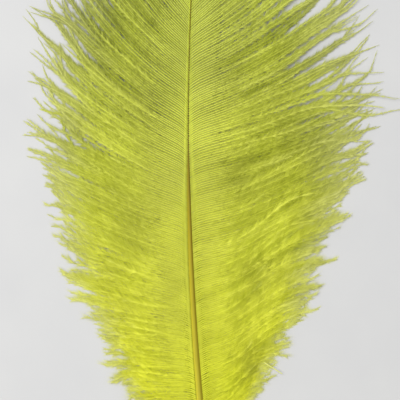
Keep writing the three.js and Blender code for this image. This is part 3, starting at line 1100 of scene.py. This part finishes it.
# %% Dye group
DYE = [  # place from the quill's end to the tip, and its colour
    (0.12, (0.82, 0.83, 0.034)), (0.5, (0.755, 0.79, 0.096)), (0.8, (0.68, 0.74, 0.112)),
]
CLOUDS = {"Scale": 45.0, "Detail": 3.0}  # lighter and darker clouds in the dye
CLOUD_RANGE = (0.3, 0.7)
CLOUD_SHADE = (0.86, 1.1)


def add_node(tree, kind, inputs=None, **settings):
    """A node with its settings and input values, where a value may be another node's socket."""
    node = tree.nodes.new(kind)
    for name, value in settings.items():
        setattr(node, name, value)
    for name, value in (inputs or {}).items():
        if isinstance(value, bpy.types.NodeSocket):
            tree.links.new(value, node.inputs[name])
        else:
            node.inputs[name].default_value = value
    return node


def add_ramp(tree, factor, stops):
    """A colour ramp with stops of place and colour."""
    ramp = add_node(tree, "ShaderNodeValToRGB", {"Fac": factor})
    elements = ramp.color_ramp.elements
    while len(elements) < len(stops):
        elements.new(0.5)
    for element, (at, colour) in zip(elements, stops):
        element.position = at
        element.color = (*colour, 1)
    return ramp.outputs["Color"]


def remap(tree, value, to, span=(0.0, 1.0), clamp=True):
    """Turns a value's span into another one."""
    ends = {"From Min": span[0], "From Max": span[1], "To Min": to[0], "To Max": to[1]}
    return add_node(tree, "ShaderNodeMapRange", {"Value": value, **ends}, clamp=clamp).outputs["Result"]


def multiply(tree, colour, by):
    """A colour times another colour or one value."""
    node = add_node(tree, "ShaderNodeVectorMath", {0: colour, 1: by}, operation="MULTIPLY")
    return node.outputs["Vector"]


def place_and_zone(tree):
    """A place on the plume, and how far along it lies, from 0 at the quill to 1 at the tip."""
    place_on = add_node(tree, "ShaderNodeTexCoord").outputs["Object"]
    height = add_node(tree, "ShaderNodeSeparateXYZ", {"Vector": place_on}).outputs["Y"]
    return place_on, remap(tree, height, (0.0, 1.0), (cad_low.y, cad_high.y))


def make_dye():
    group = bpy.data.node_groups.new("plume dye", "ShaderNodeTree")
    group.interface.new_socket("Color", in_out="OUTPUT", socket_type="NodeSocketColor")
    place_on, zone = place_and_zone(group)
    clouds = add_node(group, "ShaderNodeTexNoise", {"Vector": place_on, **CLOUDS}).outputs["Fac"]
    shade = remap(group, clouds, CLOUD_SHADE, CLOUD_RANGE)
    add_node(group, "NodeGroupOutput", {"Color": multiply(group, add_ramp(group, zone, DYE), shade)})
    return group


dye = make_dye()
print("dye nodes:", len(dye.nodes))

# %% [markdown]
# ## Barb and horn finishes
# A barb is matte, and light shines through it, so its shader is a mix of a rough surface and a translucent
# one. The numbers on its points make it lighter, darker or striped, and some of that is painted light and
# shade: the stripes, the lower barbs, the dark patches, the hollows and the roots. Its fine end is paler,
# because so little horn is left there to hold the dye. The shaft is satin horn: amber under the dye, darker
# towards the tip, partly by painted shade, with painted light on its left flank, painted shade on its right
# flank, and fine lines along it.

# %% Barb finish
TINT_SHADE = (0.74, 1.06)  # share of the dye's colour at tints of 0 and 1
RED_POWER = 1.1  # dark strands are greener than light ones, and hold less blue
BLUE_POWER = 3.2
PALE_TIP = (0.78, 0.79, 0.32)
PALE_SHARE = 0.7
# Painted stripes: painted light on each ramus and painted shade on the barbules between rami, for the light
# on each barb's ridge and the shade between barbs.
STRIPE_PAINTED_LIGHT = 1.37
STRIPE_PAINTED_SHADE = 0.55
DOWN_GRAIN = 900.0
DOWN_ROUGH = (0.6, 0.9)
DOWN_BUMP = {"Strength": 0.1, "Distance": 0.0001}
LIGHT_THROUGH = 0.35  # share of the translucent shader


def new_material(name):
    material = bpy.data.materials.new(name)
    material.use_nodes = True
    material.node_tree.nodes.clear()
    return material, material.node_tree


def read_mark(tree, title):
    """A number that was written on the mesh's points."""
    return add_node(tree, "ShaderNodeAttribute", attribute_name=title).outputs["Fac"]


def add_math(tree, operation, a, b):
    return add_node(tree, "ShaderNodeMath", {0: a, 1: b}, operation=operation).outputs[0]


def tinted(tree, colour):
    """The dye, darker or lighter by the barb's tint."""
    shade = remap(tree, read_mark(tree, "tint"), TINT_SHADE, clamp=False)
    red = add_math(tree, "POWER", shade, RED_POWER)
    blue = add_math(tree, "POWER", shade, BLUE_POWER)
    shade = add_node(tree, "ShaderNodeCombineXYZ", {"X": red, "Y": shade, "Z": blue}).outputs[0]
    return multiply(tree, colour, shade)


def paled(tree, colour):
    """The ends of the barbs, paler than the rest."""
    pale = add_math(tree, "MULTIPLY", read_mark(tree, "pale"), PALE_SHARE)
    sides = {"Factor": pale, "A": colour, "B": (*PALE_TIP, 1)}
    return add_node(tree, "ShaderNodeMix", sides, data_type="RGBA").outputs["Result"]


def striped(tree, colour):
    """Beside the shaft, painted light makes the rami lighter and painted shade makes the barbules between
    them darker.
    """
    stripe = remap(tree, read_mark(tree, "fringe"), (STRIPE_PAINTED_LIGHT, STRIPE_PAINTED_SHADE), (0.0, BARBULE_FOOT))
    sides = {"Factor": read_mark(tree, "painted_stripes"), "A": 1.0, "B": stripe}
    return multiply(tree, colour, add_node(tree, "ShaderNodeMix", sides, data_type="FLOAT").outputs["Result"])


def make_barb_finish():
    material, tree = new_material("dyed down")
    colour = add_node(tree, "ShaderNodeGroup", node_tree=dye).outputs["Color"]
    colour = striped(tree, paled(tree, tinted(tree, colour)))
    place_on = add_node(tree, "ShaderNodeTexCoord").outputs["Object"]
    grain = add_node(tree, "ShaderNodeTexNoise", {"Vector": place_on, "Scale": DOWN_GRAIN}).outputs["Fac"]
    bump = add_node(tree, "ShaderNodeBump", {"Height": grain, **DOWN_BUMP})
    surface = add_node(tree, "ShaderNodeBsdfPrincipled", {
        "Base Color": colour, "Roughness": remap(tree, grain, DOWN_ROUGH), "Normal": bump.outputs[0],
    })
    through = add_node(tree, "ShaderNodeBsdfTranslucent", {"Color": colour})
    shaders = {0: LIGHT_THROUGH, 1: surface.outputs[0], 2: through.outputs[0]}
    both = add_node(tree, "ShaderNodeMixShader", shaders)
    add_node(tree, "ShaderNodeOutputMaterial", {"Surface": both.outputs[0]})
    return material


barb_finish = make_barb_finish()
print("finish of the barbs:", barb_finish.name)

# %% Horn finish
# Darker towards the tip: partly the rachis's own darker horn, partly painted shade where the thin rachis lies
# sunk between the barb roots.
HORN = [  # place from the quill's end to the tip, and its colour
    (0.0, (0.72, 0.62, 0.17)), (0.2, (0.47, 0.42, 0.025)), (0.42, (0.35, 0.285, 0.008)),
    (0.53, (0.21, 0.165, 0.003)), (0.58, (0.15, 0.135, 0.002)), (0.8, (0.22, 0.21, 0.004)),
]
# Painted light on the left flank of the shaft and painted shade on its right flank, as on a round rod lit
# from the left.
FLANK_PAINTED_LIGHT_AND_SHADE = [  # from the left edge of the shaft to the right, the share of its colour
    (0.0, (1.5, 1.5, 1.6)), (0.12, (1.1, 1.1, 1.2)), (0.3, (0.85, 0.83, 0.8)), (0.55, (0.7, 0.68, 0.6)),
    (0.68, (0.5, 0.48, 0.28)), (1.0, (0.52, 0.5, 0.3)),
]
LINES_STRETCH = (2500, 60, 2500)
LINES = {"Scale": 1.0, "Detail": 2.0}
LINES_SHADE = (0.75, 1.2)
HORN_ROUGH = (0.45, 0.65)
HORN_BUMP = {"Strength": 0.15, "Distance": 0.0002}
HORN_GLOSS = 0.15


def make_horn_finish():
    material, tree = new_material("dyed horn")
    place_on, zone = place_and_zone(tree)
    stretched = add_node(tree, "ShaderNodeMapping", {"Vector": place_on, "Scale": LINES_STRETCH})
    lines = add_node(tree, "ShaderNodeTexNoise", {"Vector": stretched.outputs[0], **LINES}).outputs["Fac"]
    colour = multiply(tree, add_ramp(tree, zone, HORN), remap(tree, lines, LINES_SHADE))
    # Painted light and shade across the shaft, by how far left or right a point lies.
    flank = remap(tree, read_mark(tree, "across"), (0.0, 1.0), (-1.0, 1.0))
    colour = multiply(tree, colour, add_ramp(tree, flank, FLANK_PAINTED_LIGHT_AND_SHADE))
    bump = add_node(tree, "ShaderNodeBump", {"Height": lines, **HORN_BUMP})
    surface = add_node(tree, "ShaderNodeBsdfPrincipled", {
        "Base Color": colour, "Roughness": remap(tree, lines, HORN_ROUGH), "Normal": bump.outputs[0],
        "Specular IOR Level": HORN_GLOSS,
    })
    add_node(tree, "ShaderNodeOutputMaterial", {"Surface": surface.outputs[0]})
    return material


horn_finish = make_horn_finish()
print("finish of the shaft:", horn_finish.name)

# %% [markdown]
# ## Fastened to the frame
# A feather is one grown thing, so all of its pieces move as one body. Each piece gets its finish, is
# tied to that body, and takes the place of the plain solid, which then no longer shows.

# %% Fasten the pieces to the frame
for piece in barb_pieces:
    piece.data.materials.append(barb_finish)
shaft.data.materials.append(horn_finish)
for piece in [shaft, *barb_pieces]:
    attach(piece, "root")
    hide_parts("feather")
print("pieces:", 1 + len(barb_pieces))

# %% [markdown]
# ## Table, light and camera
# The plume lies on a plain pale table. A broad soft light hangs high up, to the left and a little
# towards the tip, and a weak even light fills the shadows. A hard lamp would draw a dark edge under
# every barb. The camera looks straight down, with the shaft upright in the picture, so close that
# the end of the quill and the soft tip are outside it.

# %% Table
TABLE_SIZE = 4  # metres
TABLE_SPECKS = {"Scale": 30.0, "Detail": 4.0}
TABLE_COLOURS = [(0.3, (0.445, 0.445, 0.445)), (0.7, (0.465, 0.465, 0.46))]
TABLE_ROUGH = 0.8


def make_table():
    select_none()
    bpy.ops.mesh.primitive_plane_add(size=TABLE_SIZE, location=(0, 0, 0))
    table = bpy.context.object
    table.name = "table"
    material, tree = new_material("pale table")
    place_on = add_node(tree, "ShaderNodeTexCoord").outputs["Object"]
    specks = add_node(tree, "ShaderNodeTexNoise", {"Vector": place_on, **TABLE_SPECKS}).outputs["Fac"]
    colour = add_ramp(tree, specks, TABLE_COLOURS)
    surface = add_node(tree, "ShaderNodeBsdfPrincipled", {"Base Color": colour, "Roughness": TABLE_ROUGH})
    add_node(tree, "ShaderNodeOutputMaterial", {"Surface": surface.outputs[0]})
    table.data.materials.append(material)


make_table()
print("table, m:", TABLE_SIZE)

# %% Light
KEY_PLACE = Vector((-0.25, 0.1, 0.86))
KEY_SIZE = 0.6
KEY_POWER = 8.8
FILL = 0.66

bpy.ops.object.light_add(type="AREA", location=KEY_PLACE)
key = bpy.context.object
key.data.size = KEY_SIZE
key.data.energy = KEY_POWER
key.rotation_euler = (-KEY_PLACE).to_track_quat("-Z", "Y").to_euler()
world = bpy.data.worlds.new("studio")
world.use_nodes = True
bpy.context.scene.world = world
world.node_tree.nodes["Background"].inputs["Color"].default_value = (FILL, FILL, FILL, 1)
bpy.context.scene.view_settings.view_transform = "Standard"
print("light from, m:", round(KEY_PLACE.length, 2))

# %% Camera
LENS = 100
SENSOR = 36
PICTURE_WIDTH = 160  # mm of the plume across the picture
PICTURE_MIDDLE = (4.5, 136)  # mm, across the plume and along it
PICTURE_TURN = math.radians(-0.4)  # the plume leans a little in the picture
FOCUS_HEIGHT = 6  # mm above the table

distance = PICTURE_WIDTH * LENS / SENSOR
spot = (np.array([*PICTURE_MIDDLE, FOCUS_HEIGHT + distance]) + shift) * MM
bpy.ops.object.camera_add(location=spot, rotation=(0, 0, PICTURE_TURN))
camera = bpy.context.object
camera.data.lens = LENS
camera.data.sensor_width = SENSOR
bpy.context.scene.camera = camera
print("camera height, mm:", round(spot[2] / MM, 1))
